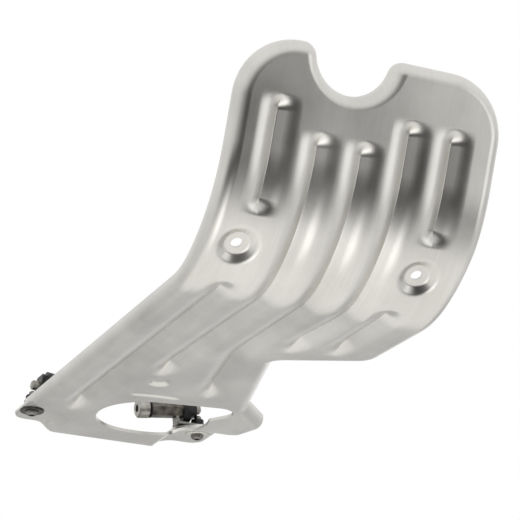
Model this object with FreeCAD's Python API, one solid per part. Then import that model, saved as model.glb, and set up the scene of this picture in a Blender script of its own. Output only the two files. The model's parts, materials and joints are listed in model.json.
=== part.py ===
import FreeCAD, Part
import math
import os

Vec = FreeCAD.Vector

# Driving dimensions, in millimetres. The origin lies midway between the two rear
# pad screws, on the plane of the flat belly. +X is to the machine's side, +Y points
# to the rear and +Z up, to the inner side of the sheet.

# Sheet
sheet = 2.5
flange_height = 12.0
roll_radius = 10.0

# Side profile: flat belly, tight bend, long sweep, straight top
belly_length = 316.0
bend_radius = 70.0
bend_angle = 26.0
sweep_radius = 130.0
top_angle = 68.0

# Plan outline; the reaches are lengths along the profile, from the belly's end
left_side = -80.5
right_side = 118.5
top_reach = 202.0
shoulder_radius = 43.0
notch_centre = 1.0
notch_radius = 28.5
notch_depth = 30.0
notch_lip_radius = 10.5
rear_corner_radius = 11.0
lip_root_radius = 10.5
lip_corner_radius = 11.0
pad_rear = 25.0
pad_outer = 83.5
lip_rear = 36.0
lip_half = 49.0
pad_inner = 57.0
ear_root = 18.0
ear_root_radius = 9.0
ear_reach = 16.5
ear_rear = 27.0
ear_rear_radius = 12.0
ear_spread = 24.3
ear_front = 54.0
ear_front_radius = 10.5
neck_rear_side = 77.2
neck_rear = 89.6
neck_rear_radius = 14.0
neck_front_side = 45.0
neck_front = 210.0
neck_front_radius = 9.0
flare_side = 111.0
flare_rear = 241.0
flare_rear_radius = 20.0
flare_reach = 84.0
flare_front_radius = 150.0

# Pressed ribs
rib_pitch = 32.7
rib_middle = 16.5
rib_radius = 8.0
rib_depth = 9.0
rib_shoulder = 6.0
outer_rib_drop = 34.0
inner_rib_drop = 54.0
outer_rib_reach = 83.0
belly_rib_reach = 31.0
splay_angle = 2.0
rib_two_rear = 150.0
rib_three_turn = 212.0
rib_three_rear = 111.0
rib_three_angle = 11.0
rib_four_rear = 241.0
neck_rib_side = -50.0
neck_rib_rear = 37.0
flare_rib_side = 76.2
flare_rib_rear = 248.0
splay_radius = 300.0
turn_radius = 60.0

# Front mount dimples
mount_left = -54.4
mount_right = 81.4
mount_reach = 55.6
mount_hole = 8.4
dimple_floor = 8.0
dimple_mouth = 12.0
dimple_depth = 5.0
dimple_shoulder = 7.0
dimple_foot = 2.0

# Small round dimple before the drain hole
dot_side = -13.0
dot_along = 123.0
dot_floor = 4.5
dot_mouth = 7.0
dot_depth = 2.0
dot_shoulder = 3.2
dot_foot = 1.0

# Drain hole: a big round opening drawn out towards one front corner
drain_side = 12.5
drain_along = 42.5
drain_radius = 42.5
drain_nose_side = 54.0
drain_nose_along = 78.0
drain_nose_radius = 14.3
drain_wide_side = 19.0
drain_wide_along = 41.5
drain_wide_radius = 41.5
drain_waist_angle = 20.6
drain_waist_radius = 6.0

# Rear pads, pressed inwards round the pad screws
pad_screw_half = 71.4
pad_rise = 6.5
pad_floor = 21.0
pad_mouth = 27.5
rim_cut_along = 8.0
rim_cut_side = 50.0
pad_run = 60.0

# Clamp hardware, drawn for the right side and mirrored for the left. The clamp
# bolt rises outboard by a few degrees, and the clamp pieces sit square to it.
screw_hole = 6.5
screw_size = 6.0
screw_top = 22.0
button_size = 10.5
button_height = 3.0
cup_size = 19.5
cup_thick = 1.2
base_plate_thick = 2.5
base_plate_half = 9.0
base_plate_inner = 56.5
base_plate_outer = 76.4
base_plate_corner = 2.5
bracket_thick = 1.8
bracket_half = 8.0
bracket_end = 76.0
bracket_corner = 3.0
upright_half = 4.3
upright_in = -4.0
upright_out = -1.5
flange_nut_size = 13.0
flange_nut_thick = 1.4
nut_across = 10.0
nut_height = 5.5
clamp_side = 54.0
clamp_height = 25.6
clamp_tilt = 7.0
bolt_size = 8.0
bolt_clearance = 8.4
bolt_head_size = 15.5
bolt_head_length = 10.0
bolt_washer_size = 15.0
bolt_washer_thick = 1.2
sleeve_across = 13.0
sleeve_start = -25.2
sleeve_end = 2.0
jaw_plate_thick = 6.5
jaw_plate_low = -11.0
jaw_plate_high = 13.5
jaw_plate_half = 8.0
jaw_block_length = 4.8
jaw_block_low = -7.0
jaw_block_high = 9.0
jaw_block_half = 8.0
bolt_tip = 6.0

far = 200.0

first_slope = math.radians(bend_angle)
top_slope = math.radians(top_angle)
bend_end = belly_length + bend_radius * first_slope
sweep_end = bend_end + sweep_radius * (top_slope - first_slope)
top_edge = belly_length + top_reach
flare_front = belly_length + flare_reach
mount_along = belly_length + mount_reach


def along(v, inset=0.0):
    """Point (y, z) and slope of the profile at length v, inset inwards."""
    first = first_slope
    last = top_slope
    if v <= belly_length:
        y, z, slope = -v, 0.0, 0.0
    elif v <= bend_end:
        slope = (v - belly_length) / bend_radius
        y = -belly_length - bend_radius * math.sin(slope)
        z = bend_radius * (1.0 - math.cos(slope))
    else:
        y1 = -belly_length - bend_radius * math.sin(first)
        z1 = bend_radius * (1.0 - math.cos(first))
        slope = min(first + (v - bend_end) / sweep_radius, last)
        y = y1 - sweep_radius * (math.sin(slope) - math.sin(first))
        z = z1 + sweep_radius * (math.cos(first) - math.cos(slope))
        if v > sweep_end:
            y -= (v - sweep_end) * math.cos(last)
            z += (v - sweep_end) * math.sin(last)
    return Vec(0, y + inset * math.sin(slope), z + inset * math.cos(slope)), slope


def at(u, v, inset=0.0):
    point, _ = along(v, inset)
    point.x = u
    return point


def inward(v):
    _, slope = along(v)
    return Vec(0, math.sin(slope), math.cos(slope))


def profile_edges(start, end, inset, u=0.0):
    """Edges of the side profile from length start to end, at side u."""
    stops = [start]
    for stop in (belly_length, bend_end, sweep_end):
        if start < stop < end:
            stops.append(stop)
    stops.append(end)
    edges = []
    for a, b in zip(stops, stops[1:]):
        middle = (a + b) / 2
        if a >= belly_length and b <= sweep_end:
            arc = Part.Arc(at(u, a, inset), at(u, middle, inset), at(u, b, inset))
            edges.append(arc.toShape())
        else:
            edges.append(Part.LineSegment(at(u, a, inset), at(u, b, inset)).toShape())
    return edges


def skin_block(inset):
    """Everything on the inner side of the sheet's face at this inset."""
    left = left_side - far
    edges = profile_edges(-far, top_edge + far, inset, left)
    begin = at(left, -far, inset)
    end = at(left, top_edge + far, inset)
    corner = Vec(left, begin.y, end.z)
    edges.append(Part.LineSegment(end, corner).toShape())
    edges.append(Part.LineSegment(corner, begin).toShape())
    face = Part.Face(Part.Wire(Part.__sortEdges__(edges)))
    return face.extrude(Vec(right_side - left_side + 2 * far, 0, 0))


def level(p):
    """Inset of a point from the sheet's outer face."""
    centre_one = Vec(0, -belly_length, bend_radius)
    turn = Vec(0, math.sin(first_slope), math.cos(first_slope))
    centre_two = at(0, bend_end) + turn * sweep_radius
    flat = Vec(0, p.y, p.z)
    if p.y >= -belly_length:
        return p.z
    one = flat - centre_one
    if math.atan2(-one.y, -one.z) <= first_slope:
        return bend_radius - one.Length
    two = flat - centre_two
    if math.atan2(-two.y, -two.z) <= top_slope:
        return sweep_radius - two.Length
    return (flat - at(0, sweep_end)).dot(inward(sweep_end))


def rounded(points, close=True):
    """Edges of an outline whose corners (x, y, radius) are rounded."""
    count = len(points)
    edges = []
    ends = []
    for i in range(count):
        x, y, radius = points[i]
        corner = Vec(x, y, 0)
        before = Vec(points[i - 1][0], points[i - 1][1], 0) - corner
        after = Vec(points[(i + 1) % count][0], points[(i + 1) % count][1], 0) - corner
        before.normalize()
        after.normalize()
        if radius == 0:
            ends.append((corner, corner, None))
            continue
        half = before.getAngle(after) / 2
        reach = radius / math.tan(half)
        middle = before + after
        middle.normalize()
        centre = corner + middle * (radius / math.sin(half))
        ends.append((corner + before * reach, corner + after * reach,
                     centre - middle * radius))
    for i in range(count):
        start, end, middle = ends[i]
        if middle is not None:
            edges.append(Part.Arc(start, middle, end).toShape())
        following = ends[(i + 1) % count][0]
        if (following - end).Length > 1e-6:
            edges.append(Part.LineSegment(end, following).toShape())
    return edges


def belly_outline():
    """The plan outline, run on past the top edge."""
    flare_y = along(flare_front)[0].y
    return [
        (left_side, pad_rear, rear_corner_radius),
        (-pad_inner, pad_rear, lip_root_radius),
        (-lip_half, lip_rear, lip_corner_radius),
        (lip_half, lip_rear, lip_corner_radius),
        (pad_inner, pad_rear, lip_root_radius),
        (pad_outer, pad_rear, rear_corner_radius),
        (pad_outer, -ear_root, ear_root_radius),
        (pad_outer + ear_reach, -ear_rear, ear_rear_radius),
        (pad_outer + ear_spread, -ear_front, ear_front_radius),
        (neck_rear_side, -neck_rear, neck_rear_radius),
        (neck_front_side, -neck_front, neck_front_radius),
        (flare_side, -flare_rear, flare_rear_radius),
        (right_side, flare_y, flare_front_radius),
        (right_side, -belly_length - 2 * far, 0),
        (left_side, -belly_length - 2 * far, 0),
    ]


def top_cutter(inset):
    """What lies outside the two shoulders and the notch, seen square to the top."""
    v0 = top_edge - shoulder_radius
    top = top_edge - inset
    left = left_side + inset
    right = right_side - inset
    shoulder = shoulder_radius - inset
    lip = notch_lip_radius - inset
    notch = notch_radius + inset
    notch_v = top_edge - notch_depth + notch_radius
    lip_v = top - lip
    reach = math.sqrt((notch + lip) ** 2 - (lip_v - notch_v) ** 2)
    share = notch / (notch + lip)
    points = []

    def to_space(u, v):
        return at(u, v, -far / 4)

    def arc(cu, cv, radius, a, b):
        pts = []
        for t in (a, (a + b) / 2, b):
            pts.append(to_space(cu + radius * math.cos(math.radians(t)),
                                cv + radius * math.sin(math.radians(t))))
        return Part.Arc(*pts).toShape(), pts[0], pts[2]

    tilt = math.degrees(math.atan2(lip_v - notch_v, reach))
    pieces = [
        arc(left + shoulder, v0, shoulder, 180, 90),
        arc(notch_centre - reach, lip_v, lip, 90, -tilt),
        arc(notch_centre, notch_v, notch, 180 - tilt, 360 + tilt),
        arc(notch_centre + reach, lip_v, lip, 180 + tilt, 90),
        arc(right - shoulder, v0, shoulder, 90, 0),
    ]
    edges = []
    loose = [to_space(left - far, v0)]
    edges.append(Part.LineSegment(loose[0], pieces[0][1]).toShape())
    for i, (edge, a, b) in enumerate(pieces):
        edges.append(edge)
        if i + 1 < len(pieces) and (pieces[i + 1][1] - b).Length > 1e-6:
            edges.append(Part.LineSegment(b, pieces[i + 1][1]).toShape())
    corners = [to_space(right + far, v0), to_space(right + far, top + 2 * far),
               to_space(left - far, top + 2 * far), loose[0]]
    last = pieces[-1][2]
    for corner in corners:
        edges.append(Part.LineSegment(last, corner).toShape())
        last = corner
    wire = Part.Wire(Part.__sortEdges__(edges))
    return Part.Face(wire).extrude(inward(top_edge) * (2 * far))


def plan_prism(inset):
    wire = Part.Wire(Part.__sortEdges__(rounded(belly_outline())))
    if inset:
        wire = wire.makeOffset2D(-inset)
    wire.translate(Vec(0, 0, -far))
    return Part.Face(wire).extrude(Vec(0, 0, 4 * far))


def roll_edges(shape, inset):
    """All edges on the face, but not the seams that run right across the sheet."""
    across = 0.9 * (right_side - left_side)
    chosen = []
    for edge in shape.Edges:
        a = edge.valueAt(edge.FirstParameter)
        b = edge.valueAt(edge.LastParameter)
        m = edge.valueAt((edge.FirstParameter + edge.LastParameter) / 2)
        if max(abs(level(p) - inset) for p in (a, b, m)) > 0.01:
            continue
        if abs(a.y - b.y) < 1e-4 and abs(a.z - b.z) < 1e-4 and abs(a.x - b.x) > across:
            continue
        chosen.append(edge)
    return chosen


def disc(centre, direction, radius):
    return Part.Face(Part.Wire(Part.makeCircle(radius, centre, direction)))


def tube(path, radius):
    """A round bar with ball ends along lines (start, end) and arcs
    (start, axis point, axis, degrees)."""
    parts = []
    for kind, start, run, *rest in path:
        if kind == "line":
            parts.append(disc(start, run, radius).extrude(run))
        if kind == "arc":
            axis_point, axis, degrees = rest
            parts.append(disc(start, run, radius).revolve(axis_point, axis, degrees))
        if kind == "ball":
            pole = rest[0]
            side = run.cross(pole)
            bow = Part.Arc(start + pole * radius, start + side * radius, start - pole * radius)
            chord = Part.LineSegment(start - pole * radius, start + pole * radius)
            half = Part.Face(Part.Wire([bow.toShape(), chord.toShape()]))
            parts.append(half.revolve(start, pole, 180))
    return parts[0].fuse(parts[1:])


def rib_path(side, front, rear, splay=0.0, turn=None, turn_angle=0.0):
    """Centre line of a rib from its front end towards the rear."""
    deep = rib_depth - rib_radius
    half = math.sqrt((rib_radius + rib_shoulder) ** 2
                     - (rib_radius + rib_shoulder - rib_depth) ** 2)
    front = front - half
    rear = rear + half
    path = []
    v = front
    slope_start = along(front)[1]
    ahead = Vec(0, -math.cos(slope_start), math.sin(slope_start))
    path.append(("ball", at(side, front, deep), ahead, inward(front)))
    if v > sweep_end:
        stop = max(rear, sweep_end)
        path.append(("line", at(side, v, deep), at(side, stop, deep) - at(side, v, deep)))
        v = stop
    for low, radius in ((bend_end, sweep_radius), (belly_length, bend_radius)):
        if v > low and v > rear:
            stop = max(rear, low)
            slope = along(v)[1]
            back = Vec(0, math.cos(slope), -math.sin(slope))
            axis_point = at(side, v) + inward(v) * radius
            degrees = math.degrees((v - stop) / radius)
            path.append(("arc", at(side, v, deep), back, axis_point, Vec(1, 0, 0), degrees))
            v = stop
    end = at(side, v, deep)
    heading = Vec(0, math.cos(along(v)[1]), -math.sin(along(v)[1]))
    if v > rear:
        if splay:
            centre = end + Vec(-splay_radius, 0, 0)
            path.append(("arc", end, heading, centre, Vec(0, 0, 1), splay))
            turned = math.radians(splay)
            end = centre + Vec(splay_radius * math.cos(turned), splay_radius * math.sin(turned), 0)
            heading = Vec(-math.sin(turned), math.cos(turned), 0)
        if turn:
            reach = turn_radius * math.tan(math.radians(turn_angle + splay) / 2)
            stop = -turn - reach
            length = (stop - end.y) / heading.y
            path.append(("line", end, heading * length))
            end = end + heading * length
            sweep = turn_angle + splay
            right = Vec(heading.y, -heading.x, 0)
            centre = end + right * turn_radius
            path.append(("arc", end, heading, centre, Vec(0, 0, -1), sweep))
            turned = math.radians(sweep)
            end = centre - right * turn_radius * math.cos(turned) + heading * turn_radius * math.sin(turned)
            heading = heading * math.cos(turned) + right * math.sin(turned)
        length = (-rear - end.y) / heading.y
        path.append(("line", end, heading * length))
        end = end + heading * length
    path.append(("ball", end, heading, inward(rear)))
    return path


outer_rib_top = top_edge - outer_rib_drop
inner_rib_top = top_edge - inner_rib_drop
outer_rib_bottom = belly_length + outer_rib_reach
belly_rib_front = belly_length + belly_rib_reach
ribs = [
    rib_path(rib_middle - 2 * rib_pitch, outer_rib_top, outer_rib_bottom),
    rib_path(rib_middle - rib_pitch, inner_rib_top, rib_two_rear, splay_angle),
    rib_path(rib_middle, inner_rib_top, rib_three_rear, splay_angle,
             rib_three_turn, rib_three_angle),
    rib_path(rib_middle + rib_pitch, outer_rib_top, rib_four_rear, splay_angle),
    rib_path(rib_middle + 2 * rib_pitch, outer_rib_top, outer_rib_bottom),
    rib_path(neck_rib_side, belly_rib_front, neck_rib_rear),
    rib_path(flare_rib_side, belly_rib_front, flare_rib_rear),
]


def edge_key(edge):
    centre = edge.BoundBox.Center
    return tuple(round(n, 2) for n in (centre.x, centre.y, centre.z, edge.Length))


def press(die, tool, inset, shoulder):
    """Cut a tool into a die and round the mouth that it leaves on the face."""
    reach = tool.BoundBox
    reach.enlarge(0.5)
    known = set(edge_key(edge) for edge in die.Edges)
    cut = die.cut(tool)
    mouth = []
    for edge in cut.Edges:
        if edge_key(edge) in known:
            continue
        first, last = edge.FirstParameter, edge.LastParameter
        points = [edge.valueAt(first + (last - first) * k / 4) for k in range(5)]
        if max(abs(level(p) - inset) for p in points) > 0.05:
            continue
        if all(reach.isInside(p) for p in points):
            mouth.append(edge)
    return cut.makeFillet(shoulder - inset, mouth)


def dish(side, v, floor, mouth, depth, foot, inset):
    """Round pressed dimple: a cone from outside the sheet down to its rounded floor."""
    spread = (mouth - floor) / depth
    wall = math.atan2(depth, mouth - floor)
    bottom = floor + inset * math.tan(wall / 2)
    outside = 2.0
    height = depth + inset + outside
    start = at(side, v, -outside)
    cone = Part.makeCone(bottom + height * spread, bottom, height, start, inward(v))
    rim = [edge for edge in cone.Edges
           if edge.isClosed() and abs(edge.Length - 2 * math.pi * bottom) < 0.01]
    return cone.makeFillet(foot + inset, rim)


def pad_tool(sign, inset):
    """Pressed pad round a rear screw, open to the outer side and to the rear."""
    outside = 4.0
    spread = (pad_mouth - pad_floor) / pad_rise
    wall = math.atan2(pad_rise, pad_mouth - pad_floor)
    bottom = pad_floor + inset * math.tan(wall / 2)
    top = pad_rise + inset
    wires = []
    for radius, z in ((bottom + (top + outside) * spread, -outside), (bottom, top)):
        inner = Vec(pad_screw_half - radius, pad_run, z)
        turn = Vec(pad_screw_half - radius, 0, z)
        slant = radius * math.sqrt(0.5)
        middle = Vec(pad_screw_half - slant, -slant, z)
        front = Vec(pad_screw_half, -radius, z)
        outer = Vec(pad_screw_half + pad_run, -radius, z)
        corner = Vec(pad_screw_half + pad_run, pad_run, z)
        wires.append(Part.Wire([
            Part.LineSegment(inner, turn).toShape(),
            Part.Arc(turn, middle, front).toShape(),
            Part.LineSegment(front, outer).toShape(),
            Part.LineSegment(outer, corner).toShape(),
            Part.LineSegment(corner, inner).toShape(),
        ]))
    tool = Part.makeLoft(wires, True, True)
    if sign < 0:
        tool = tool.mirror(Vec(0, 0, 0), Vec(1, 0, 0))
    return tool


def die(inset):
    """The solid on the inner side of the sheet's face at this inset."""
    solid = skin_block(inset).common(plan_prism(inset))
    solid = solid.cut(top_cutter(inset))
    solid = solid.cut(skin_block(50))
    solid = solid.makeFillet(roll_radius - inset, roll_edges(solid, inset))
    for path in ribs:
        solid = press(solid, tube(path, rib_radius + inset), inset, rib_shoulder)
    for side in (mount_left, mount_right):
        tool = dish(side, mount_along, dimple_floor, dimple_mouth, dimple_depth,
                    dimple_foot, inset)
        solid = press(solid, tool, inset, dimple_shoulder)
    tool = dish(dot_side, dot_along, dot_floor, dot_mouth, dot_depth, dot_foot, inset)
    solid = press(solid, tool, inset, dot_shoulder)
    solid = solid.cut(pad_tool(1, inset))
    solid = solid.cut(pad_tool(-1, inset))
    print("die", inset, solid.isValid(), round(solid.Volume), len(solid.Faces))
    return solid


def tangent_hull(one, r1, two, r2):
    """Prism over two circles and their outer tangents, with the tangent points."""
    line = two - one
    swing = math.acos((r1 - r2) / line.Length)
    heading = math.atan2(line.y, line.x)

    def on(centre, radius, angle):
        return centre + Vec(math.cos(angle), math.sin(angle), 0) * radius

    a = on(one, r1, heading + swing)
    b = on(two, r2, heading + swing)
    c = on(two, r2, heading - swing)
    d = on(one, r1, heading - swing)
    wire = Part.Wire([
        Part.LineSegment(a, b).toShape(),
        Part.Arc(b, on(two, r2, heading), c).toShape(),
        Part.LineSegment(c, d).toShape(),
        Part.Arc(d, on(one, r1, heading + math.pi), a).toShape(),
    ])
    return Part.Face(wire).extrude(Vec(0, 0, 60)), c, d


def drain_hole():
    """Round opening, a little wider than long, drawn out to a nose with a waist."""
    main = Vec(drain_side, -drain_along, -20)
    wide = Vec(drain_wide_side, -drain_wide_along, -20)
    nose = Vec(drain_nose_side, -drain_nose_along, -20)
    body = tangent_hull(main, drain_radius, wide, drain_wide_radius)[0]
    _, c, d = tangent_hull(main, drain_radius, nose, drain_nose_radius)
    turn = math.radians(drain_waist_angle)
    waist = wide + Vec(math.cos(turn), -math.sin(turn), 0) * (drain_wide_radius - 0.4)
    sight = nose - waist
    swing = math.asin(drain_nose_radius / sight.Length)
    heading = math.atan2(sight.y, sight.x) + swing
    reach = math.sqrt(sight.Length ** 2 - drain_nose_radius ** 2)
    touch = waist + Vec(math.cos(heading), math.sin(heading), 0) * reach
    corners = [main, d, c, nose, touch, waist, main]
    tongue = Part.Face(Part.makePolygon(corners)).extrude(Vec(0, 0, 60))
    round_end = Part.makeCylinder(drain_nose_radius, 60, nose)
    solid = body.fuse([tongue, round_end]).removeSplitter()
    upright = [edge for edge in solid.Edges
               if abs(edge.tangentAt(edge.FirstParameter).z) > 0.99]
    near = min(upright, key=lambda edge: (edge.Vertexes[0].Point.sub(waist)).cross(Vec(0, 0, 1)).Length)
    print("drain hole", solid.isValid(), len(solid.Faces), near.Vertexes[0].Point)
    return solid.makeFillet(drain_waist_radius, [near])


def skid_plate():
    plate = die(0).cut(die(sheet))
    plate = plate.cut(skin_block(flange_height))
    plate = plate.cut(drain_hole())
    for side in (mount_left, mount_right):
        drill = Part.makeCylinder(mount_hole / 2, 40, at(side, mount_along, -10),
                                  inward(mount_along))
        plate = plate.cut(drill)
    for side in (-pad_screw_half, pad_screw_half):
        plate = plate.cut(Part.makeCylinder(screw_hole / 2, 40, Vec(side, 0, -10)))
        start = rim_cut_side if side > 0 else -rim_cut_side - pad_run
        rim = Part.makeBox(pad_run, pad_run, 20, Vec(start, -rim_cut_along, pad_rise + sheet))
        plate = plate.cut(rim)
    return plate


def hexagon(across, length, base, axis):
    """Six-sided bar with flats up and down, along an axis in the XZ plane."""
    radius = across / math.sqrt(3)
    up = axis.cross(Vec(0, 1, 0))
    up.normalize()
    points = []
    for k in range(6):
        angle = math.radians(60 * k + 30)
        points.append(base + up * (radius * math.cos(angle))
                      + Vec(0, 1, 0) * (radius * math.sin(angle)))
    points.append(points[0])
    return Part.Face(Part.makePolygon(points)).extrude(axis * length)


tilt = math.radians(clamp_tilt)
run = Vec(math.cos(tilt), 0, math.sin(tilt))
rise = Vec(-math.sin(tilt), 0, math.cos(tilt))
hub = Vec(clamp_side, 0, clamp_height)
floor_top = pad_rise + sheet
foot_low = floor_top + base_plate_thick
foot_top = foot_low + bracket_thick


def spot(s, t, y=0.0):
    """Point s along the clamp bolt from its hub, t above its axis."""
    return hub + run * s + rise * t + Vec(0, y, 0)


def bar(size, start, end):
    """Round bar on the clamp bolt's axis."""
    return Part.makeCylinder(size / 2, end - start, spot(start, 0), run)


def pad_screw():
    centre = Vec(pad_screw_half, 0, 0)
    seat = pad_rise - cup_thick
    low = seat - button_height
    half = button_size / 2
    small = half - 2.2
    sag = Vec(pad_screw_half + half - 0.75, 0, low + 0.85)
    outline = Part.Wire([
        Part.LineSegment(centre + Vec(0, 0, seat), centre + Vec(half, 0, seat)).toShape(),
        Part.Arc(centre + Vec(half, 0, seat), sag, centre + Vec(small, 0, low)).toShape(),
        Part.LineSegment(centre + Vec(small, 0, low), centre + Vec(0, 0, low)).toShape(),
        Part.LineSegment(centre + Vec(0, 0, low), centre + Vec(0, 0, seat)).toShape(),
    ])
    head = Part.Face(outline).revolve(centre, Vec(0, 0, 1), 360)
    socket = hexagon_up(4.0, 1.8, centre + Vec(0, 0, low))
    shank = Part.makeCylinder(screw_size / 2, screw_top - seat, centre + Vec(0, 0, seat))
    shank = shank.makeChamfer(0.8, [shank.Edges[0]])
    return head.cut(socket).fuse(shank).removeSplitter()


def hexagon_up(across, length, base):
    radius = across / math.sqrt(3)
    points = []
    for k in range(7):
        angle = math.radians(60 * k)
        points.append(base + Vec(radius * math.cos(angle), radius * math.sin(angle), 0))
    return Part.Face(Part.makePolygon(points)).extrude(Vec(0, 0, length))


def pad_cup():
    base = Vec(pad_screw_half, 0, pad_rise - cup_thick)
    disk = Part.makeCylinder(cup_size / 2, cup_thick, base)
    disk = disk.makeChamfer(0.5, [disk.Edges[2]])
    return disk.cut(Part.makeCylinder(screw_hole / 2, cup_thick, base))


def upright_edges(solid):
    return [edge for edge in solid.Edges
            if abs(edge.tangentAt(edge.FirstParameter).z) > 0.99]


def screw_drill():
    return Part.makeCylinder(screw_hole / 2, screw_top, Vec(pad_screw_half, 0, 0))


def base_plate():
    plate = Part.makeBox(base_plate_outer - base_plate_inner, 2 * base_plate_half,
                         base_plate_thick, Vec(base_plate_inner, -base_plate_half, floor_top))
    plate = plate.makeFillet(base_plate_corner, upright_edges(plate))
    return plate.cut(screw_drill())


def clamp_bracket():
    def at_height(s, z):
        return spot(s, (z - clamp_height - s * math.sin(tilt)) / math.cos(tilt))

    start = at_height(upright_in, foot_low).x
    foot = Part.makeBox(bracket_end - start, 2 * bracket_half, bracket_thick,
                        Vec(start, -bracket_half, foot_low))
    foot = foot.makeFillet(bracket_corner, upright_edges(foot))
    seat = -sleeve_across / 2
    corners = [
        at_height(upright_in, foot_low),
        at_height(upright_out, foot_low),
        spot(upright_out, seat),
        spot(upright_in, seat),
    ]
    corners.append(corners[0])
    profile = Part.makePolygon([p + Vec(0, -upright_half, 0) for p in corners])
    upright = Part.Face(profile).extrude(Vec(0, 2 * upright_half, 0))
    return foot.fuse(upright).removeSplitter().cut(screw_drill())


def pad_nut():
    base = Vec(pad_screw_half, 0, foot_top)
    flange = Part.makeCylinder(flange_nut_size / 2, flange_nut_thick, base)
    flange = flange.makeChamfer(0.5, [flange.Edges[0]])
    nut = hexagon_up(nut_across, nut_height, base)
    nut = nut.common(Part.makeCone(nut_across / 2 + 3.6, nut_across / 2 - 0.2,
                                   nut_height * 1.05, base))
    return nut.fuse(flange).cut(Part.makeCylinder(screw_size / 2, nut_height, base))


def clamp_bolt():
    head_end = sleeve_start - bolt_washer_thick
    head_start = head_end - bolt_head_length
    head = bar(bolt_head_size, head_start, head_end)
    head = head.makeChamfer(1.2, [head.Edges[0], head.Edges[2]])
    socket = hexagon(6.0, 5.0, spot(head_start, 0), run)
    tip = sleeve_end + jaw_plate_thick + jaw_block_length + bolt_tip
    shank = bar(bolt_size, head_end, tip)
    shank = shank.makeChamfer(1.2, [shank.Edges[0]])
    return head.cut(socket).fuse(shank)


def bolt_washer():
    end = sleeve_start
    start = end - bolt_washer_thick
    return bar(bolt_washer_size, start, end).cut(bar(bolt_clearance, start, end))


def hex_sleeve():
    solid = hexagon(sleeve_across, sleeve_end - sleeve_start, spot(sleeve_start, 0), run)
    return solid.cut(bar(bolt_clearance, sleeve_start, sleeve_end))


def jaw_plate():
    start = sleeve_end
    end = start + jaw_plate_thick
    half = jaw_plate_half
    top = Part.makeCylinder(half, end - start, spot(start, jaw_plate_high - half), run)
    low = Part.makeCylinder(half, end - start, spot(start, jaw_plate_low + half), run)
    corners = [
        spot(start, jaw_plate_low + half, -half),
        spot(start, jaw_plate_low + half, half),
        spot(start, jaw_plate_high - half, half),
        spot(start, jaw_plate_high - half, -half),
    ]
    corners.append(corners[0])
    waist = Part.Face(Part.makePolygon(corners)).extrude(run * (end - start))
    solid = waist.fuse([top, low]).removeSplitter()
    return solid.cut(bar(bolt_clearance, start, end))


def jaw_block():
    start = sleeve_end + jaw_plate_thick
    end = start + jaw_block_length
    half = jaw_block_half
    corners = [
        spot(start, jaw_block_low, -half),
        spot(start, jaw_block_low, half),
        spot(start, jaw_block_high, half),
        spot(start, jaw_block_high, -half),
    ]
    corners.append(corners[0])
    solid = Part.Face(Part.makePolygon(corners)).extrude(run * (end - start))
    solid = solid.makeChamfer(1.5, [e for e in solid.Edges
                                    if abs(e.tangentAt(0).dot(run)) > 0.99])
    return solid.cut(bar(bolt_size, start, end))


os.makedirs("parts", exist_ok=True)


def export(name, shape):
    print(name, shape.isValid(), len(shape.Solids), round(shape.Volume), len(shape.Faces))
    shape.exportStep("parts/%s.step" % name)


export("skid_plate", skid_plate())
clamp = {
    "pad_screw": pad_screw,
    "pad_cup": pad_cup,
    "clamp_bracket": clamp_bracket,
    "base_plate": base_plate,
    "pad_nut": pad_nut,
    "clamp_bolt": clamp_bolt,
    "bolt_washer": bolt_washer,
    "hex_sleeve": hex_sleeve,
    "jaw_plate": jaw_plate,
    "jaw_block": jaw_block,
}
for name, make in clamp.items():
    shape = make()
    export(name + "_right", shape)
    export(name + "_left", shape.mirror(Vec(0, 0, 0), Vec(1, 0, 0)))
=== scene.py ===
import bpy
import json
import math
import numpy as np
from mathutils import Matrix, Vector
from mathutils.geometry import delaunay_2d_cdt


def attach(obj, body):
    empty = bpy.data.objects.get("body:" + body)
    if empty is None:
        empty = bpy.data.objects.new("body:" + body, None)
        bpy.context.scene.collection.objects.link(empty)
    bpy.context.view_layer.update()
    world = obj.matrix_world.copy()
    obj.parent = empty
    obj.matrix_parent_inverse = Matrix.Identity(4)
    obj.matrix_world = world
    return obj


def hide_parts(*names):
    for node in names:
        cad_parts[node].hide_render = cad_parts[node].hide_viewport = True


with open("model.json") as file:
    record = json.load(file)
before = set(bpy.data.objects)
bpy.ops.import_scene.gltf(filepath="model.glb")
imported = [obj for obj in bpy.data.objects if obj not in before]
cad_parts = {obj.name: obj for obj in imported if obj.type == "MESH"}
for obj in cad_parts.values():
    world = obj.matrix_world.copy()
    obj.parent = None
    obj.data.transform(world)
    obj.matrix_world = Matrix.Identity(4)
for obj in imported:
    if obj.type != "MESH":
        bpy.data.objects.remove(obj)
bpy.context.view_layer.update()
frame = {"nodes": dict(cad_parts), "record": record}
nodes = frame["nodes"]
print("frame loaded:", len(nodes), "nodes")


# small helpers
def toLinear(hexColour):
    channels = [int(hexColour[i:i + 2], 16) / 255 for i in (0, 2, 4)]
    return [c / 12.92 if c <= 0.04045 else ((c + 0.055) / 1.055) ** 2.4 for c in channels] + [1]


def addNode(tree, kind, settings=None, links=None):
    node = tree.nodes.new(kind)
    for name, value in (settings or {}).items():
        if isinstance(name, int) or name in node.inputs:
            node.inputs[name].default_value = value
        else:
            setattr(node, name, value)
    for name, source in (links or {}).items():
        tree.links.new(source, node.inputs[name])
    return node


def startMaterial(name):
    material = bpy.data.materials.new(name)
    material.use_nodes = True
    tree = material.node_tree
    return material, tree, tree.nodes["Principled BSDF"]


def dress(obj, material):
    obj.data.materials.clear()
    obj.data.materials.append(material)


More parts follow.
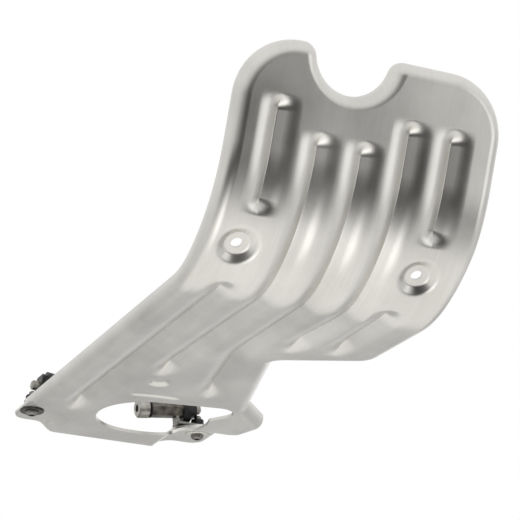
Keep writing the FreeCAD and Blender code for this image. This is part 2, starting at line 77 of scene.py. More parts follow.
# brushed aluminium sheet: rolled and brushed lengthways, then pressed, so it is satin, a
# little warm, with fine lines along the sheet and faint clouds where the press dragged it
sheetFinish = {
    "light": "D9D7D2", "dark": "C4C2BD", "roughness": 0.33, "spread": 0.05,
    "brushWidth": 0.0009,  # real lines are near 0.2 mm, drawn at 0.9 mm so that they show
    "brushDepth": 0.05, "cloudSize": 0.06,
}


def brushedAluminium():
    material, tree, shader = startMaterial("brushedAluminium")
    place = addNode(tree, "ShaderNodeTexCoord")
    stretch = addNode(tree, "ShaderNodeMapping", {"Scale": (1, 0.03, 0.03)},
                      {"Vector": place.outputs["Object"]})
    brush = addNode(tree, "ShaderNodeTexNoise",
                    {"Scale": 1 / sheetFinish["brushWidth"], "Detail": 3.0, "Roughness": 0.6},
                    {"Vector": stretch.outputs["Vector"]})
    cloud = addNode(tree, "ShaderNodeTexNoise",
                    {"Scale": 1 / sheetFinish["cloudSize"], "Detail": 4.0, "Roughness": 0.55},
                    {"Vector": place.outputs["Object"]})
    mixed = addNode(tree, "ShaderNodeMath", {"operation": "MULTIPLY_ADD", 1: 0.35},
                    {0: brush.outputs["Fac"], 2: cloud.outputs["Fac"]})
    tone = addNode(tree, "ShaderNodeValToRGB", {}, {"Fac": mixed.outputs["Value"]})
    tone.color_ramp.elements[0].position = 0.42
    tone.color_ramp.elements[0].color = toLinear(sheetFinish["dark"])
    tone.color_ramp.elements[1].position = 0.86
    tone.color_ramp.elements[1].color = toLinear(sheetFinish["light"])
    rough = addNode(tree, "ShaderNodeMapRange",
                    {"From Min": 0.3, "From Max": 0.8,
                     "To Min": sheetFinish["roughness"] - sheetFinish["spread"],
                     "To Max": sheetFinish["roughness"] + sheetFinish["spread"]},
                    {"Value": cloud.outputs["Fac"]})
    bump = addNode(tree, "ShaderNodeBump",
                   {"Strength": sheetFinish["brushDepth"], "Distance": 0.0004},
                   {"Height": brush.outputs["Fac"]})
    shader.inputs["Metallic"].default_value = 1.0
    tree.links.new(tone.outputs["Color"], shader.inputs["Base Color"])
    tree.links.new(rough.outputs["Result"], shader.inputs["Roughness"])
    tree.links.new(bump.outputs["Normal"], shader.inputs["Normal"])
    return material


# zinc plated steel: bright barrel plating on turned and stamped pieces, slightly grainy
platedFinish = {"light": "B9B7B0", "dark": "918F88", "roughness": 0.36, "grainSize": 0.0012}
# black oxide steel: oiled black, near matt, worn a little greyer in patches
blackFinish = {"light": "3A3A3B", "dark": "161617", "roughness": 0.42, "grainSize": 0.0015}
# oiled dark sleeve with a fine hatch, brown-grey where the oil has dried
sleeveFinish = {"light": "87817A", "dark": "4F4B46", "roughness": 0.4, "grainSize": 0.0008}
# plated steel of the bracket, duller than the bolt
bracketFinish = {"light": "979590", "dark": "74726D", "roughness": 0.42, "grainSize": 0.0012}
# steel of the left cup, coloured darker than the right cup, which keeps the sheet's aluminium
leftCupDarkFinish = {"light": "5C5955", "dark": "3B3936", "roughness": 0.36, "grainSize": 0.001}
# grey screw steel, a little darker in patches
screwFinish = {"light": "8A8783", "dark": "6B6966", "roughness": 0.38, "grainSize": 0.001}


def platedSteel(name, finish, metallic):
    material, tree, shader = startMaterial(name)
    place = addNode(tree, "ShaderNodeTexCoord")
    grain = addNode(tree, "ShaderNodeTexNoise",
                    {"Scale": 1 / finish["grainSize"], "Detail": 3.0, "Roughness": 0.6},
                    {"Vector": place.outputs["Object"]})
    patch = addNode(tree, "ShaderNodeTexNoise", {"Scale": 160.0, "Detail": 3.0},
                    {"Vector": place.outputs["Object"]})
    tone = addNode(tree, "ShaderNodeValToRGB", {}, {"Fac": patch.outputs["Fac"]})
    tone.color_ramp.elements[0].position = 0.35
    tone.color_ramp.elements[0].color = toLinear(finish["dark"])
    tone.color_ramp.elements[1].position = 0.7
    tone.color_ramp.elements[1].color = toLinear(finish["light"])
    rough = addNode(tree, "ShaderNodeMapRange",
                    {"To Min": finish["roughness"] - 0.08, "To Max": finish["roughness"] + 0.08},
                    {"Value": patch.outputs["Fac"]})
    bump = addNode(tree, "ShaderNodeBump", {"Strength": 0.12, "Distance": 0.0002},
                   {"Height": grain.outputs["Fac"]})
    shader.inputs["Metallic"].default_value = metallic
    tree.links.new(tone.outputs["Color"], shader.inputs["Base Color"])
    tree.links.new(rough.outputs["Result"], shader.inputs["Roughness"])
    tree.links.new(bump.outputs["Normal"], shader.inputs["Normal"])
    return material


sheetMetal = brushedAluminium()
zincSteel = platedSteel("zincPlatedSteel", platedFinish, 1.0)
blackSteel = platedSteel("blackOxideSteel", blackFinish, 0.6)
sleeveSteel = platedSteel("oiledHatchedSteel", sleeveFinish, 0.8)
screwSteel = platedSteel("greyScrewSteel", screwFinish, 1.0)
finishes = {"aluminium_sheet": sheetMetal, "plated_steel": zincSteel, "black_steel": blackSteel}
bracketSteel = platedSteel("dullPlatedSteel", bracketFinish, 1.0)
# the left cup is coloured darker than its twin on the right
leftCupDarkSteel = platedSteel("darkerLeftCupSteel", leftCupDarkFinish, 1.0)
ownFinishes = {"hex_sleeve": sleeveSteel, "pad_screw": screwSteel, "clamp_bracket": bracketSteel,
               "pad_cup_left": leftCupDarkSteel}
for part in frame["record"]["subparts"]:
    obj = nodes[part["node"]]
    family = part["node"].rsplit("_", 1)[0]
    usual = ownFinishes.get(family, finishes[part["material_slot"]])
    dress(obj, ownFinishes.get(part["node"], usual))
    for face in obj.data.polygons:
        face.use_smooth = True
print("finishes given")


# pressed sheet: the skid plate again with a finer skin, because the photograph shows its ribs as
# soft valleys with a narrow bottom that run out gently. Lengths here are in millimetres, u across
# the sheet and v along its profile from the rear pad screws to the top edge
profileForm = {"belly": 316.0, "bend": 70.0, "bendAngle": 26.0, "sweep": 130.0, "topAngle": 68.0}
sheetForm = {
    "thick": 2.5, "roll": 10.0, "flange": 12.0, "rimCut": 9.0, "rimCutFrom": (50.0, 8.0),
    "rollSteps": (90, 78, 66, 54, 42, 30, 20, 10, 0),
    "corners": [
        (-80.5, -25, 11), (-57, -25, 10.5), (-49, -36, 11), (49, -36, 11), (57, -25, 10.5),
        (83.5, -25, 11), (83.5, 18, 9), (100, 27, 12), (107.8, 54, 10.5), (77.2, 89.6, 14),
        (45, 210, 9), (111, 241, 20), (118.5, 400, 150), (118.5, 518, 43),
    ],
    "left": (-80.5, 518, 43), "lip": 10.5, "notch": (1.0, 516.5, 28.5), "top": 518.0,
    "drain": [(12.5, 42.5, 42.5), (19.0, 41.5, 41.5), (54.0, 78.0, 14.3)],
    "drainTongue": [(12.5, 42.5), (5.6, 84.4), (51.7, 92.1), (54, 78), (66.3, 70.7), (57.5, 56)],
    "drainMiddle": (27.0, 50.0), "drainTurn": 2.5, "drainReach": (10, 90, 0.05),
}
ribForm = {"floor": 0.0, "depth": 5.8, "slope": 30.0, "bottom": 0.8, "shoulder": 22.0}
ribLines = [
    {"points": [(-48.9, 481, 0), (-48.9, 396, 0)], "fades": (11, 11)},
    {"points": [(-16.2, 461, 0), (-16.2, 311, 300), (-22.3, 141, 0)], "fades": (11, 28)},
    {"points": [(16.5, 461, 0), (16.5, 311, 300), (13.05, 212, 60), (33, 108, 0)],
     "fades": (11, 28)},
    {"points": [(49.2, 481, 0), (49.2, 311, 300), (40.9, 233, 0)], "fades": (11, 28)},
    {"points": [(81.9, 481, 0), (81.9, 396, 0)], "fades": (11, 11)},
    {"points": [(-50, 342, 0), (-51.5, 32, 0)], "fades": (14, 30)},
    {"points": [(76.2, 342, 0), (74.2, 242, 0)], "fades": (14, 28)},
]
mountForm = {"floor": 7.5, "depth": 4.6, "slope": 36.0, "bottom": 4.0, "shoulder": 7.0}
dotForm = {"floor": 4.4, "depth": 2.2, "slope": 32.0, "bottom": 3.0, "shoulder": 5.0}
padForm = {"floor": 20.2, "depth": 6.5, "slope": 42.0, "bottom": 3.0, "shoulder": 6.0}
beadForm = {"floor": 1.2, "depth": 1.1, "slope": 18.0, "bottom": 4.0, "shoulder": 7.0}
dishes = [(-54.4, 371.6, mountForm, 4.2), (81.4, 371.6, mountForm, 4.2), (-14.2, 129.4, dotForm, 0)]
beadLine = {"points": [(-26, 95.5, 0), (-5, 99.5, 60), (17, 101, 0)], "fades": (6, 6)}
padHalf, padHole = 71.4, 3.25
# where the skin's points lie: rows beside the ribs and the bar, rings in the dishes and the pads,
# and a grid between them
fillForm = {
    "ribRows": [0, 0.2, 0.4, 1.8, 3.2, 5.1, 6.3, 7.7, 9.2, 10.9, 12.6, 14.4, 16.1],
    "ribStep": 2.4, "ribReach": 17.0,
    "beadRows": [0, 1, 2, 3.2, 4.4], "beadStep": 2.0, "beadReach": 6.0,
    "dishRings": 12, "dishSpots": 40, "dishGap": 1.4, "dishReach": 2.5,
    "padRings": 13, "padStep": 3.0, "gridStep": 4.0, "gridFrom": (-80, -36), "gridTo": (118, 518),
    "edgeGap": 0.7, "mountHoleSpots": 32, "padHoleSpots": 24,
}


def profileAt(v):
    first, last = math.radians(profileForm["bendAngle"]), math.radians(profileForm["topAngle"])
    belly, bend, sweep = profileForm["belly"], profileForm["bend"], profileForm["sweep"]
    bendEnd = belly + bend * first
    sweepEnd = bendEnd + sweep * (last - first)
    one = np.clip((v - belly) / bend, 0, first)
    two = np.clip(first + (v - bendEnd) / sweep, first, last)
    rest = np.maximum(v - sweepEnd, 0)
    y = -np.minimum(v, belly) - bend * np.sin(one) - sweep * (np.sin(two) - math.sin(first))
    z = bend * (1 - np.cos(one)) + sweep * (math.cos(first) - np.cos(two))
    slope = np.where(v > bendEnd, two, one)
    curve = np.where(v < bendEnd, 1 / bend, np.where(v < sweepEnd, 1 / sweep, 0))
    curve = np.where(v < belly, 0, curve)
    return y - rest * math.cos(last), z + rest * math.sin(last), slope, curve


def edgeRuns(form):
    a = math.radians(form["slope"])
    low, high = form["bottom"], form["shoulder"]
    wall = (form["depth"] - (low + high) * (1 - math.cos(a))) / math.tan(a)
    start = low * math.sin(a)
    return a, start, start + wall, start + wall + high * math.sin(a)


def mouthOf(form):
    return form["floor"] + edgeRuns(form)[3]


def pressedDepth(distance, form):
    a, start, end, mouth = edgeRuns(form)
    low, high, deep = form["bottom"], form["shoulder"], form["depth"]
    x = np.maximum(distance - form["floor"], 0)
    floorArc = deep - low + np.sqrt(np.maximum(low ** 2 - x ** 2, 0))
    wall = deep - low * (1 - math.cos(a)) - (x - start) * math.tan(a)
    mouthArc = high - np.sqrt(np.maximum(high ** 2 - np.maximum(mouth - x, 0) ** 2, 0))
    return np.where(x < start, floorArc, np.where(x < end, wall, np.where(x < mouth, mouthArc, 0)))


def roundedPath(points, closed, step):
    count = len(points)
    places, sides = [], []

    def add(place, side):
        if not places or (place - places[-1]).length > 0.02:
            places.append(place)
            sides.append(side)

    def addLine(start, end):
        run = end - start
        parts = max(1, math.ceil(run.length / step))
        side = Vector((run.y, -run.x)).normalized() if run.length > 1e-6 else Vector((0, 0))
        for k in range(parts + 1):
            if run.length > 0.02:
                add(start + run * (k / parts), side)

    last = None
    for i in range(count + (1 if closed else 0)):
        u, v, radius = points[i % count]
        corner = Vector((u, v))
        if radius == 0:
            if last is not None:
                addLine(last, corner)
            last = corner
            continue
        before = (Vector(points[i % count - 1][:2]) - corner).normalized()
        after = (Vector(points[(i + 1) % count][:2]) - corner).normalized()
        half = before.angle(after) / 2
        reach = radius / math.tan(half)
        centre = corner + (before + after).normalized() * (radius / math.sin(half))
        start, end = corner + before * reach, corner + after * reach
        if last is not None:
            addLine(last, start)
        a0 = math.atan2(start.y - centre.y, start.x - centre.x)
        swing = Vector(start - centre).angle_signed(Vector(end - centre))
        turn = -swing
        parts = max(2, math.ceil(abs(turn) / math.radians(9)), math.ceil(abs(turn) * radius / step))
        for k in range(parts + 1):
            a = a0 + turn * k / parts
            out = Vector((math.cos(a), math.sin(a)))
            add(centre + out * radius, out if turn > 0 else -out)
        last = end
    if closed and (places[-1] - places[0]).length < 0.05:
        places.pop()
        sides.pop()
    return places, sides


def arcPoints(u, v, radius, start, end, convex):
    parts = max(4, math.ceil(abs(end - start) / 7))
    places, sides = [], []
    for k in range(parts + 1):
        a = math.radians(start + (end - start) * k / parts)
        out = Vector((math.cos(a), math.sin(a)))
        places.append(Vector((u, v)) + out * radius)
        sides.append(out if convex else -out)
    return places, sides


def outlinePoints():
    nu, nv, notch = sheetForm["notch"]
    lip, top = sheetForm["lip"], sheetForm["top"]
    reach = math.sqrt((notch + lip) ** 2 - (top - lip - nv) ** 2)
    tilt = math.degrees(math.atan2(top - lip - nv, reach))
    ends = [(nu + reach, top, 0), (nu - reach, top, 0)]
    corners = sheetForm["corners"]
    left = sheetForm["left"]
    loop = [ends[1], left] + corners + [ends[0]]
    places, sides = roundedPath(loop, False, 3.0)
    for piece in ((nu + reach, top - lip, lip, 90, 180 + tilt, True),
                  (nu, nv, notch, tilt, -180 - tilt, False),
                  (nu - reach, top - lip, lip, -tilt, 90, True)):
        more, outs = arcPoints(*piece)
        for place, out in zip(more, outs):
            if (place - places[-1]).length > 0.02 and (place - places[0]).length > 0.02:
                places.append(place)
                sides.append(out)
    return np.array(places), np.array(sides)


def drainPoints():
    middle = np.array(sheetForm["drainMiddle"])
    angles = np.radians(np.arange(0, 360, sheetForm["drainTurn"]))
    reach = np.arange(*sheetForm["drainReach"])
    u = middle[0] + np.outer(np.cos(angles), reach)
    v = middle[1] + np.outer(np.sin(angles), reach)
    inside = insideLoop(u.ravel(), v.ravel(), np.array(sheetForm["drainTongue"])).reshape(u.shape)
    for cu, cv, radius in sheetForm["drain"]:
        inside |= np.hypot(u - cu, v - cv) < radius
    far = reach[inside.shape[1] - 1 - np.argmax(inside[:, ::-1], axis=1)]
    soft = (np.roll(far, 1) + 2 * far + np.roll(far, -1)) / 4
    return np.stack([middle[0] + np.cos(angles) * soft, middle[1] + np.sin(angles) * soft], axis=1)


def insideLoop(u, v, loop):
    inside = np.zeros(u.shape, dtype=bool)
    for (u1, v1), (u2, v2) in zip(loop, np.roll(loop, -1, axis=0)):
        if v1 == v2:
            continue
        crosses = (v1 > v) != (v2 > v)
        inside ^= crosses & (u < (u2 - u1) * (v - v1) / (v2 - v1) + u1)
    return inside


def lineDistance(u, v, line):
    points = line["path"]
    best = np.full(u.shape, 1e9)
    count = len(points) - 1
    for i in range(count):
        (au, av), (bu, bv) = points[i], points[i + 1]
        length = math.hypot(bu - au, bv - av)
        cu, cv = (bu - au) / length, (bv - av) / length
        run = (u - au) * cu + (v - av) * cv
        off = (u - au) * cv - (v - av) * cu
        beyond = np.maximum(-run, 0) + np.maximum(run - length, 0)
        best = np.minimum(best, np.hypot(off, beyond))
    return best


def lineFade(u, v, line):
    points = line["path"]
    ends = ((points[0], points[1], line["fades"][0]), (points[-1], points[-2], line["fades"][1]))
    fade = np.ones(u.shape)
    for (au, av), (bu, bv), reach in ends:
        length = math.hypot(bu - au, bv - av)
        run = ((u - au) * (bu - au) + (v - av) * (bv - av)) / length
        part = np.clip(run / reach, 0, 1)
        fade = fade * part * part * (3 - 2 * part)
    return fade


def padDistance(u, v, sign):
    across = padHalf - sign * u
    return np.where(across > 0, np.where(v > 0, np.hypot(across, v), across), np.maximum(v, 0))


def sheetDepth(u, v):
    deep = np.zeros(u.shape)
    for line, form in [(line, ribForm) for line in ribLines] + [(beadLine, beadForm)]:
        deep = np.maximum(deep, pressedDepth(lineDistance(u, v, line), form) * lineFade(u, v, line))
    for du, dv, form, hole in dishes:
        deep = np.maximum(deep, pressedDepth(np.hypot(u - du, v - dv), form))
    for sign in (-1, 1):
        deep = np.maximum(deep, pressedDepth(padDistance(u, v, sign), padForm))
    return deep


def sheetPoints(u, v, roll, outU, outV, theta):
    deep = sheetDepth(u, v)
    tiny = 0.04  # taken to both sides for the slope
    slopeU = (sheetDepth(u + tiny, v) - sheetDepth(u - tiny, v)) / (2 * tiny)
    slopeV = (sheetDepth(u, v + tiny) - sheetDepth(u, v - tiny)) / (2 * tiny)
    y, z, slope, curve = profileAt(v)
    sine, cosine = np.sin(slope), np.cos(slope)
    rolled = roll > deep
    height = np.where(rolled, roll, deep)
    cutU, cutV = sheetForm["rimCutFrom"]
    cut = (np.abs(u) > cutU) & (v < cutV)
    height = np.where(cut, np.minimum(height, sheetForm["rimCut"]), height)
    stretch = 1 - height * curve
    nu = np.where(rolled, outU * np.sin(theta), slopeU)
    nv = np.where(rolled, outV * np.sin(theta), slopeV / stretch)
    nh = np.where(rolled, np.cos(theta), 1.0)
    places = np.stack([u, y + height * sine, z + height * cosine], axis=1)
    normals = np.stack([nu, -nv * cosine - nh * sine, nv * sine - nh * cosine], axis=1)
    normals /= np.linalg.norm(normals, axis=1, keepdims=True)
    return places, normals


def rowsAlong(line, offsets, step):
    points = line["path"]
    rows = []
    spots = []
    for i in range(len(points) - 1):
        a, b = Vector(points[i]), Vector(points[i + 1])
        way = (b - a).normalized()
        side = Vector((way.y, -way.x))
        parts = max(1, round((b - a).length / step))
        spots += [(a + (b - a) * (k / parts), side) for k in range(parts)]
        if i == len(points) - 2:
            spots.append((b, side))
    for spot, side in spots:
        for offset in offsets:
            rows += [spot + side * offset, spot - side * offset]
    return rows


def circlePoints(u, v, radius, parts):
    return [Vector((u + radius * math.cos(2 * math.pi * k / parts),
                    v + radius * math.sin(2 * math.pi * k / parts))) for k in range(parts)]


def fillPoints(inner, holes):
    form = fillForm
    loose = []
    for line in ribLines:
        loose += rowsAlong(line, form["ribRows"], form["ribStep"])
    loose += rowsAlong(beadLine, form["beadRows"] + [mouthOf(beadForm)], form["beadStep"])
    for u, v, dish, hole in dishes:
        mouth = mouthOf(dish)
        for k in range(form["dishRings"] + 1):
            radius = dish["floor"] + (mouth - dish["floor"]) * k / form["dishRings"]
            loose += circlePoints(u, v, radius, form["dishSpots"])
        loose += circlePoints(u, v, mouth + form["dishGap"], form["dishSpots"])
    padMouth = mouthOf(padForm)
    for sign in (-1, 1):
        for k in range(form["padRings"] + 1):
            s = padForm["floor"] + (padMouth + 1 - padForm["floor"]) * k / form["padRings"]
            for j in range(9):
                loose.append(Vector((sign * (padHalf - s), -j * form["padStep"])))
            for j in range(1, 13):
                a = math.radians(90 * j / 12)
                loose.append(Vector((sign * (padHalf - s * math.cos(a)), s * math.sin(a))))
            for j in range(1, 5):
                loose.append(Vector((sign * (padHalf + j * form["padStep"]), s)))
    loose = np.array([tuple(p) for p in loose])
    (lowU, lowV), (highU, highV) = form["gridFrom"], form["gridTo"]
    gridU, gridV = np.meshgrid(np.arange(lowU, highU, form["gridStep"]),
                               np.arange(lowV, highV, form["gridStep"]))
    u, v = gridU.ravel(), gridV.ravel()
    keep = np.ones(u.shape, dtype=bool)
    for line in ribLines:
        keep &= (lineDistance(u, v, line) > form["ribReach"]) | (lineFade(u, v, line) == 0)
    keep &= lineDistance(u, v, beadLine) > form["beadReach"]
    for du, dv, dish, hole in dishes:
        keep &= np.hypot(u - du, v - dv) > mouthOf(dish) + form["dishReach"]
    for sign in (-1, 1):
        s = padDistance(u, v, sign)
        keep &= (s < padForm["floor"] - 1) | (s > padMouth + 2)
    loose = np.concatenate([loose, np.stack([u[keep], v[keep]], axis=1)])
    inside = insideLoop(loose[:, 0], loose[:, 1], inner)
    for loop in holes:
        inside &= ~insideLoop(loose[:, 0], loose[:, 1], loop)
    for loop in [inner] + holes:
        for spot in loop:
            inside &= np.hypot(loose[:, 0] - spot[0], loose[:, 1] - spot[1]) > form["edgeGap"]
    return loose[inside]


def pressedSheet():
    for line in ribLines + [beadLine]:  # a straight line stays in one piece
        step = 4.0 if len(line["points"]) > 2 else 1000
        line["path"] = [tuple(p) for p in roundedPath(line["points"], False, step)[0]]
    edge, out = outlinePoints()
    thick, roll = sheetForm["thick"], sheetForm["roll"]
    inner = edge - out * roll
    holes = [drainPoints()]
    for u, v, form, hole in dishes:
        if hole:
            spots = circlePoints(u, v, hole, fillForm["mountHoleSpots"])
            holes.append(np.array([tuple(p) for p in spots]))
    for sign in (-1, 1):
        spots = circlePoints(sign * padHalf, 0, padHole, fillForm["padHoleSpots"])
        holes.append(np.array([tuple(p) for p in spots]))
    loose = fillPoints(inner, holes)
    points = [Vector(p) for p in inner]
    links = [(k, (k + 1) % len(inner)) for k in range(len(inner))]
    for loop in holes:
        start = len(points)
        points += [Vector(p) for p in loop]
        links += [(start + k, start + (k + 1) % len(loop)) for k in range(len(loop))]
    points += [Vector(p) for p in loose]
    flat, flatEdges, flatFaces, source = delaunay_2d_cdt(points, links, [], 0, 1e-4)[:4]
    flat = np.array([tuple(p) for p in flat])
    found = {}
    for index, origins in enumerate(source):
        for origin in origins:
            found[origin] = index
    faces = np.array([tuple(f) for f in flatFaces])
    middle = flat[faces].mean(axis=1)
    keep = insideLoop(middle[:, 0], middle[:, 1], inner)
    for loop in holes:
        keep &= ~insideLoop(middle[:, 0], middle[:, 1], loop)
    faces = [tuple(int(k) for k in f) for f in faces[keep]]
    print("skin filled:", len(flat), "points", len(faces), "faces")

    # rings that roll the edge over and end in the flange
    count = len(flat)
    rim = len(edge)
    u, v = [flat[:, 0]], [flat[:, 1]]
    height, theta = [np.zeros(count)], [np.zeros(count)]
    outU, outV = [np.zeros(count)], [np.zeros(count)]
    steps = [("wall", 90)] + [("roll", angle) for angle in sheetForm["rollSteps"][:-1]]
    for kind, angle in steps:
        t = math.radians(angle)
        ring = edge - out * (roll * (1 - math.sin(t)))
        u.append(ring[:, 0])
        v.append(ring[:, 1])
        tall = sheetForm["flange"] if kind == "wall" else roll * (1 - math.cos(t))
        height.append(np.full(rim, tall))
        theta.append(np.full(rim, t))
        outU.append(out[:, 0])
        outV.append(out[:, 1])
    joined = [np.concatenate(part) for part in (u, v, height, outU, outV, theta)]
    places, normals = sheetPoints(*joined)
    rings = [[count + r * rim + k for k in range(rim)] for r in range(len(steps))]
    rings.append([found[k] for k in range(rim)])
    for outer, next_ in zip(rings, rings[1:]):
        for k in range(rim):
            m = (k + 1) % rim
            faces.append((outer[k], outer[m], next_[m], next_[k]))
    # the inner skin, one thickness further in
    total = len(places)
    verts = list(np.concatenate([places, places - normals * thick]))
    turned = list(np.concatenate([normals, -normals]))
    faces += [tuple(total + k for k in reversed(f)) for f in faces]

    # rims between both skins: the outer edge, then each hole
    loops = [(rings[0], 1)]
    start = rim
    for loop in holes:
        loops.append(([found[start + k] for k in range(len(loop))], -1))
        start += len(loop)
    for loop, kind in loops:
        base = len(verts)
        size = len(loop)
        centre = sum(places[k] for k in loop) / size
        for k, index in enumerate(loop):
            outerPlace, innerPlace = places[index], places[index] - normals[index] * thick
            ahead = places[loop[(k + 1) % size]] - places[loop[k - 1]]
            across = innerPlace - outerPlace
            face = np.cross(ahead, across)
            if kind > 0:
                slope = float(profileAt(np.array([joined[1][index]]))[2][0])
                face = np.array([0.0, math.sin(slope), math.cos(slope)])
            elif np.dot(face, centre - outerPlace) < 0:
                face = -face
            face = face / max(np.linalg.norm(face), 1e-9)
            verts += [outerPlace, innerPlace]
            turned += [face, face]
        for k in range(size):
            m = (k + 1) % size
            quad = (base + 2 * k, base + 2 * k + 1, base + 2 * m + 1, base + 2 * m)
            corners = [verts[q] for q in quad]
            facing = np.cross(corners[2] - corners[0], corners[3] - corners[1])
            faces.append(quad if np.dot(facing, turned[base + 2 * k]) > 0 else quad[::-1])
    mesh = bpy.data.meshes.new("pressedSheet")
    mesh.from_pydata([tuple(p * 0.001) for p in verts], [], faces)
    for face in mesh.polygons:
        face.use_smooth = True
    mesh.normals_split_custom_set_from_vertices([tuple(n) for n in turned])
    mesh.update()
    obj = bpy.data.objects.new("pressedSheet", mesh)
    bpy.context.scene.collection.objects.link(obj)
    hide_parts("skid_plate")
    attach(obj, "root")
    dress(obj, sheetMetal)
    print("pressed sheet:", len(mesh.vertices), "points", len(mesh.polygons), "faces")
    return obj


pressedSheet()

# studio: a pale floor far below, because the photograph looks up at the belly, and a soft tent.
# The tent is white above, grey at the sides, lighter on the left, shaded behind the camera and
# has a dark band low in front on the left, which the upper ribs mirror in the photograph
floorLook = {"colour": "E9E8E6", "height": -2.6, "half": 2.75, "middle": (0.31, 0.54)}


def paleFloor():
    mesh = bpy.data.meshes.new("floor")
    h, z = floorLook["half"], floorLook["height"]
    x, y = floorLook["middle"]
    corners = [(x - h, y - h, z), (x + h, y - h, z), (x + h, y + h, z), (x - h, y + h, z)]
    mesh.from_pydata(corners, [], [(0, 1, 2, 3)])
    obj = bpy.data.objects.new("floor", mesh)
    bpy.context.scene.collection.objects.link(obj)
    material, tree, shader = startMaterial("paleFloorPaint")
    shader.inputs["Base Color"].default_value = toLinear(floorLook["colour"])
    shader.inputs["Roughness"].default_value = 0.9
    seen = addNode(tree, "ShaderNodeLightPath")
    white = addNode(tree, "ShaderNodeEmission", {"Color": toLinear("FFFFFF"), "Strength": 1.0})
    mix = addNode(tree, "ShaderNodeMixShader", {},
                  {0: seen.outputs["Is Camera Ray"], 1: shader.outputs["BSDF"],
                   2: white.outputs["Emission"]})
    tree.links.new(mix.outputs["Shader"], tree.nodes["Material Output"].inputs["Surface"])
    dress(obj, material)


def softBox(name, place, target, size, radiance):
    data = bpy.data.lights.new(name, "AREA")
    data.shape = "RECTANGLE"
    data.size, data.size_y = size
    data.energy = radiance * math.pi * size[0] * size[1]
    obj = bpy.data.objects.new(name, data)
    bpy.context.scene.collection.objects.link(obj)
    obj.location = place
    obj.rotation_euler = (Vector(target) - Vector(place)).to_track_quat("-Z", "Y").to_euler()
    obj.visible_camera = False


# each lamp's place, what it points at, its size and how bright its face is
softBoxes = {
    "floorBounce": ((0.2, 0.35, -1.68), (0.2, 0.35, 0.0), (3.5, 3.5), 0.3),
    "frontRight": ((0.76, -1.12, -0.12), (0.05, -0.42, 0.08), (0.7, 0.6), 0.85),
    "lowLeft": ((-0.32, -0.87, -1.09), (0.02, -0.36, 0.05), (0.6, 0.6), 1.0),
    "lowRight": ((1.35, -0.3, -0.55), (0.02, -0.36, 0.05), (1.2, 0.9), 0.3),
    "rearRight": ((1.15, 1.55, 0.2), (0, -0.15, 0), (1.0, 1.0), 0.42),
}
tentLook = {
    "backdrop": "FFFFFF", "above": 1.0, "side": 0.57,
    "left": 0.9, "leftFrom": -0.9, "leftTo": -0.2,
    "shadeWay": (0.1, -0.93, -0.35), "shadeFrom": 0.8, "shadeTo": 0.97, "shade": 0.93,
    "bandHeight": -0.46, "bandFrom": 0.3, "bandTo": 0.15, "bandWay": (-0.5, -0.87, 0.0),
    "frontFrom": 0.5, "frontTo": 0.78, "band": 1.0,
    "aboveFrom": -0.25, "aboveTo": 0.45,
}


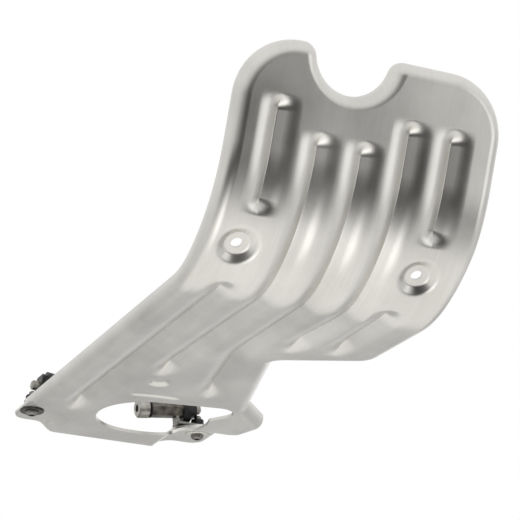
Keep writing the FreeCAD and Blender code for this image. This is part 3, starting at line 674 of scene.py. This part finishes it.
def studioTent():
    world = bpy.data.worlds.new("studioTent")
    bpy.context.scene.world = world
    world.use_nodes = True
    tree = world.node_tree
    tree.nodes.clear()
    way = addNode(tree, "ShaderNodeTexCoord").outputs["Generated"]
    parts = addNode(tree, "ShaderNodeSeparateXYZ", {}, {"Vector": way})

    def ease(source, start, end, top=1.0):
        return addNode(tree, "ShaderNodeMapRange",
                       {"interpolation_type": "SMOOTHSTEP", "From Min": start, "From Max": end,
                        "To Max": top}, {"Value": source}).outputs["Result"]

    def towards(aim):
        return addNode(tree, "ShaderNodeVectorMath", {"operation": "DOT_PRODUCT", 1: aim},
                       {0: way}).outputs["Value"]

    def combine(kind, first, second):
        return addNode(tree, "ShaderNodeMath", {"operation": kind},
                       {0: first, 1: second}).outputs["Value"]

    over = addNode(tree, "ShaderNodeMath", {"operation": "ADD", 1: -tentLook["bandHeight"]},
                   {0: parts.outputs["Z"]})
    away = addNode(tree, "ShaderNodeMath", {"operation": "ABSOLUTE"}, {0: over.outputs["Value"]})
    band = ease(away.outputs["Value"], tentLook["bandFrom"], tentLook["bandTo"], tentLook["band"])
    front = ease(towards(tentLook["bandWay"]), tentLook["frontFrom"], tentLook["frontTo"])
    shade = ease(towards(tentLook["shadeWay"]), tentLook["shadeFrom"], tentLook["shadeTo"],
                 tentLook["shade"])
    darkest = combine("MAXIMUM", combine("MULTIPLY", band, front), shade)
    across = addNode(tree, "ShaderNodeMapRange",
                     {"From Min": tentLook["leftFrom"], "From Max": tentLook["leftTo"],
                      "To Min": tentLook["left"], "To Max": tentLook["side"]},
                     {"Value": parts.outputs["X"]})
    side = addNode(tree, "ShaderNodeMapRange", {"To Max": 0.0},
                   {"Value": darkest, "To Min": across.outputs["Result"]})
    above = addNode(tree, "ShaderNodeMapRange",
                    {"interpolation_type": "SMOOTHSTEP",
                     "From Min": tentLook["aboveFrom"], "From Max": tentLook["aboveTo"]},
                    {"Value": parts.outputs["Z"]})
    level = addNode(tree, "ShaderNodeMix", {"data_type": "FLOAT", "B": tentLook["above"]},
                    {"Factor": above.outputs["Result"], "A": side.outputs["Result"]})
    tent = addNode(tree, "ShaderNodeBackground", {"Color": (1, 1, 1, 1)},
                   {"Strength": level.outputs["Result"]})
    path = addNode(tree, "ShaderNodeLightPath")
    white = addNode(tree, "ShaderNodeBackground",
                    {"Color": toLinear(tentLook["backdrop"]), "Strength": 1.0})
    mix = addNode(tree, "ShaderNodeMixShader", {},
                  {0: path.outputs["Is Camera Ray"], 1: tent.outputs["Background"],
                   2: white.outputs["Background"]})
    addNode(tree, "ShaderNodeOutputWorld", {}, {"Surface": mix.outputs["Shader"]})


paleFloor()
studioTent()
for name, settings in softBoxes.items():
    softBox(name, *settings)
print("studio ready")

# camera solved from the photograph's parallel ribs and edges
cameraSolve = {
    "place": (-0.62808, -1.69161, -0.55241), "right": (0.910828, -0.412466, 0.016260),
    "down": (0.163669, 0.324697, -0.931549), "forward": (0.378953, 0.851142, 0.363251),
    "focusPixels": 2328, "widthPixels": 520, "sensor": 36,
}
cameraData = bpy.data.cameras.new("camera")
cameraData.sensor_width = cameraSolve["sensor"]
cameraData.lens = cameraSolve["sensor"] * cameraSolve["focusPixels"] / cameraSolve["widthPixels"]
camera = bpy.data.objects.new("camera", cameraData)
bpy.context.scene.collection.objects.link(camera)
axes = (Vector(cameraSolve["right"]), -Vector(cameraSolve["down"]), -Vector(cameraSolve["forward"]))
camera.matrix_world = Matrix.Translation(cameraSolve["place"]) @ Matrix(axes).transposed().to_4x4()
bpy.context.scene.camera = camera
bpy.context.scene.view_settings.view_transform = "Standard"
